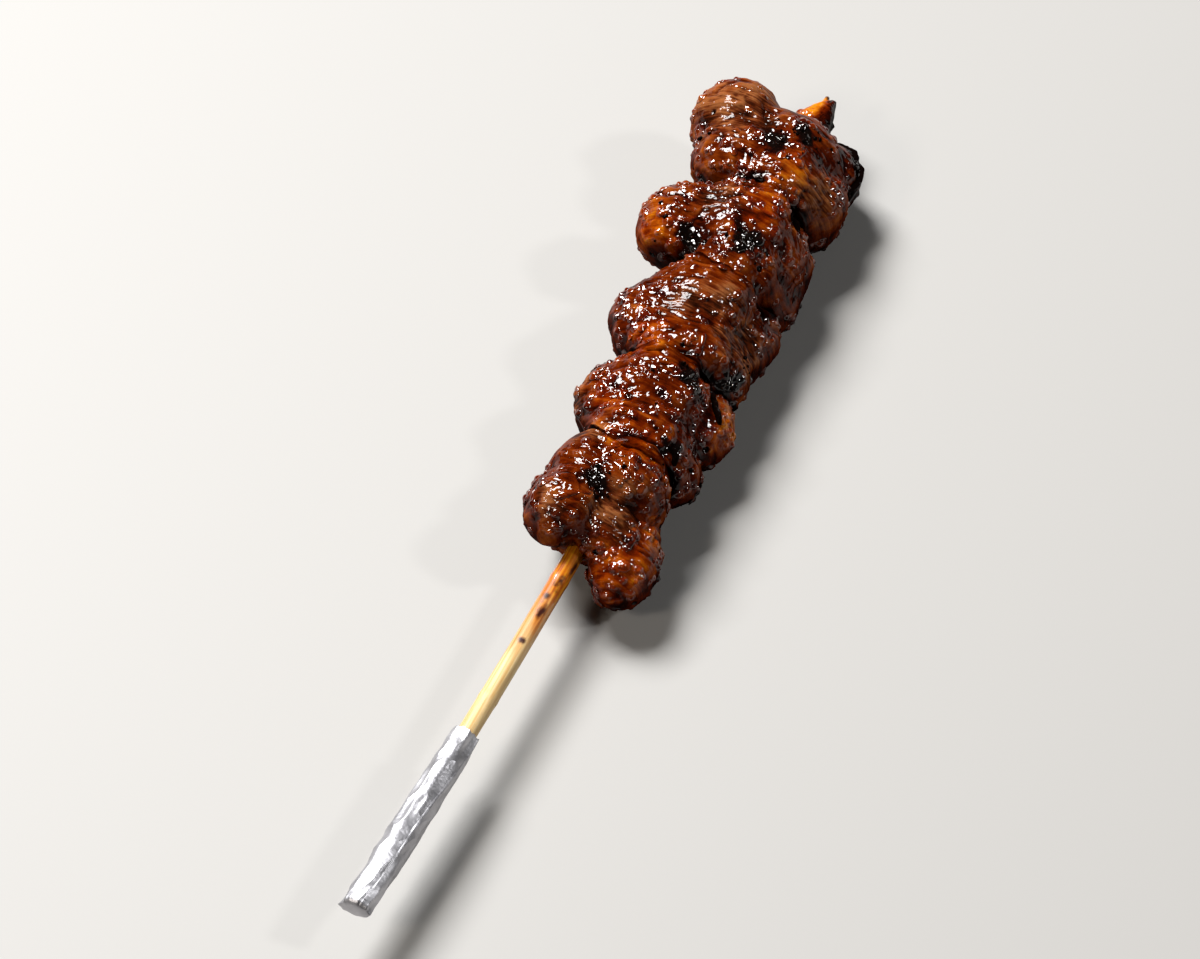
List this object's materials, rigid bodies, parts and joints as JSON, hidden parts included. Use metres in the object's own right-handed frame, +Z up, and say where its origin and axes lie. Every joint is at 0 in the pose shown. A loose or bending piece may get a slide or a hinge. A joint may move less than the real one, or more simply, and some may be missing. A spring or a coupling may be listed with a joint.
{
  "type": "pork barbecue skewer",
  "caption": "Glazed, lightly charred slices of pork folded onto a bamboo stick, with a sharpened tip and an aluminium foil sleeve round the handle end.",
  "frame": {"origin": "under the middle of the bounding box, on the surface that the skewer lies on", "axes": "+X along the stick from the foil-wrapped handle end to the sharpened tip, +Z up from the surface, +Y to the left"},
  "size_m": [0.216, 0.036, 0.0264],
  "materials": {
    "bamboo": "smooth round bamboo, stained amber where the glaze ran down it",
    "foil": "crinkled kitchen foil, shiny side out",
    "pork": "grilled pork under a sticky brown glaze, charred on the high spots"
  },
  "bodies": {
    "root": {"bamboo_stick": "bamboo", "foil_wrap": "foil", "pork_1": "pork", "pork_2": "pork", "pork_3": "pork", "pork_4": "pork", "pork_5": "pork"}
  },
  "joints": []
}
